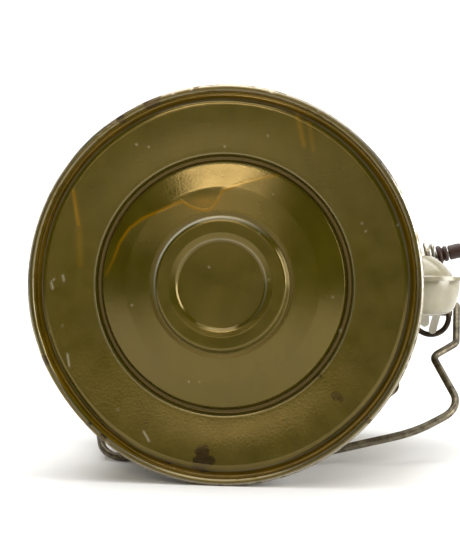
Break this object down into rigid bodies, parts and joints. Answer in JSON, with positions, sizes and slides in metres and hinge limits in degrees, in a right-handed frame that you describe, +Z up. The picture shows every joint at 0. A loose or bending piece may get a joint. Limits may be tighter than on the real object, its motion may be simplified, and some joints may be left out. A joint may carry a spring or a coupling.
{
  "type": "canteen",
  "caption": "Round sheet-steel field canteen with pressed base, screw filler cap, small side spout, vent screw, strap rings and a kinked wire bail.",
  "frame": {"origin": "centre of the flat middle disc of the base pressing", "axes": "+Y along the canteen's axis from base to filler neck, +Z up as the canteen lies on its side, +X towards the side spout"},
  "size_m": [0.1887, 0.2069, 0.15],
  "materials": {
    "olive_paint": "semi-gloss olive enamel, worn",
    "wall_paint": "semi-gloss olive enamel",
    "fitting_paint": "pale grey-beige enamel",
    "steel_wire": "dull oxidised wire",
    "dark_steel": "blackened",
    "brown_knob": "brown bakelite",
    "black_cap": "moulded, satin",
    "gasket": "soft",
    "bare_steel": "dull"
  },
  "bodies": {
    "vessel": {"base_plate": "olive_paint", "body_wall": "wall_paint", "shoulder": "wall_paint", "filler_neck": "bare_steel", "spout_upper_half": "fitting_paint", "spout_lower_half": "fitting_paint", "spout_nozzle": "bare_steel", "vent_socket": "bare_steel", "vent_washer": "bare_steel", "ear_right": "fitting_paint", "ear_left": "fitting_paint", "strap_clip_right": "fitting_paint", "strap_clip_left": "fitting_paint", "belt_loop_right": "steel_wire", "belt_loop_left": "steel_wire"},
    "filler_seal": {"filler_gasket": "gasket"},
    "filler_cap": {"filler_cap": "black_cap"},
    "spout_seal": {"spout_gasket": "gasket"},
    "spout_cap": {"spout_cap": "black_cap"},
    "vent_travel": {"vent_check_discs": "brown_knob"},
    "vent_knob": {"vent_screw": "bare_steel", "vent_knob": "brown_knob"},
    "bail": {"bail": "steel_wire"},
    "ring_right": {"strap_ring_right": "dark_steel"},
    "ring_left": {"strap_ring_left": "dark_steel"}
  },
  "joints": [
    {"name": "bail_swing", "type": "hinge", "parent": "vessel", "child": "bail", "pos_m": [0, 0.13, -0.01], "axis": [1, 0, 0], "range_deg": [0, 180]},
    {"name": "filler_cap_lift", "type": "slide", "parent": "vessel", "child": "filler_seal", "axis": [0, 1, 0], "range_m": [0, 0.024]},
    {"name": "filler_cap_turn", "type": "hinge", "parent": "filler_seal", "child": "filler_cap", "pos_m": [0, 0.196, 0], "axis": [0, 1, 0], "range_deg": [0, 1080]},
    {"name": "spout_cap_lift", "type": "slide", "parent": "vessel", "child": "spout_seal", "axis": [0, 1, 0], "range_m": [0, 0.014]},
    {"name": "spout_cap_turn", "type": "hinge", "parent": "spout_seal", "child": "spout_cap", "pos_m": [0.0822, 0.137, 0.0021], "axis": [0, 1, 0], "range_deg": [0, 1260]},
    {"name": "vent_lift", "type": "slide", "parent": "vessel", "child": "vent_travel", "axis": [0.9744, 0, 0.225], "range_m": [0, 0.003]},
    {"name": "vent_turn", "type": "hinge", "parent": "vent_travel", "child": "vent_knob", "pos_m": [0.08575, 0.146, 0.014], "axis": [0.9744, 0, 0.225], "range_deg": [0, 1080]},
    {"name": "ring_right_swing", "type": "hinge", "parent": "vessel", "child": "ring_right", "pos_m": [0.0795, 0.1219, -0.0077], "axis": [1, 0, 0], "range_deg": [0, 10]},
    {"name": "ring_left_swing", "type": "hinge", "parent": "vessel", "child": "ring_left", "pos_m": [-0.0795, 0.1219, -0.0077], "axis": [1, 0, 0], "range_deg": [0, 10]}
  ],
  "couplings": [
    {"joint": "filler_cap_turn", "follows": "filler_cap_lift", "rad_per_m": 785.4},
    {"joint": "spout_cap_turn", "follows": "spout_cap_lift", "rad_per_m": 1570.8},
    {"joint": "vent_turn", "follows": "vent_lift", "rad_per_m": 6283.2}
  ]
}
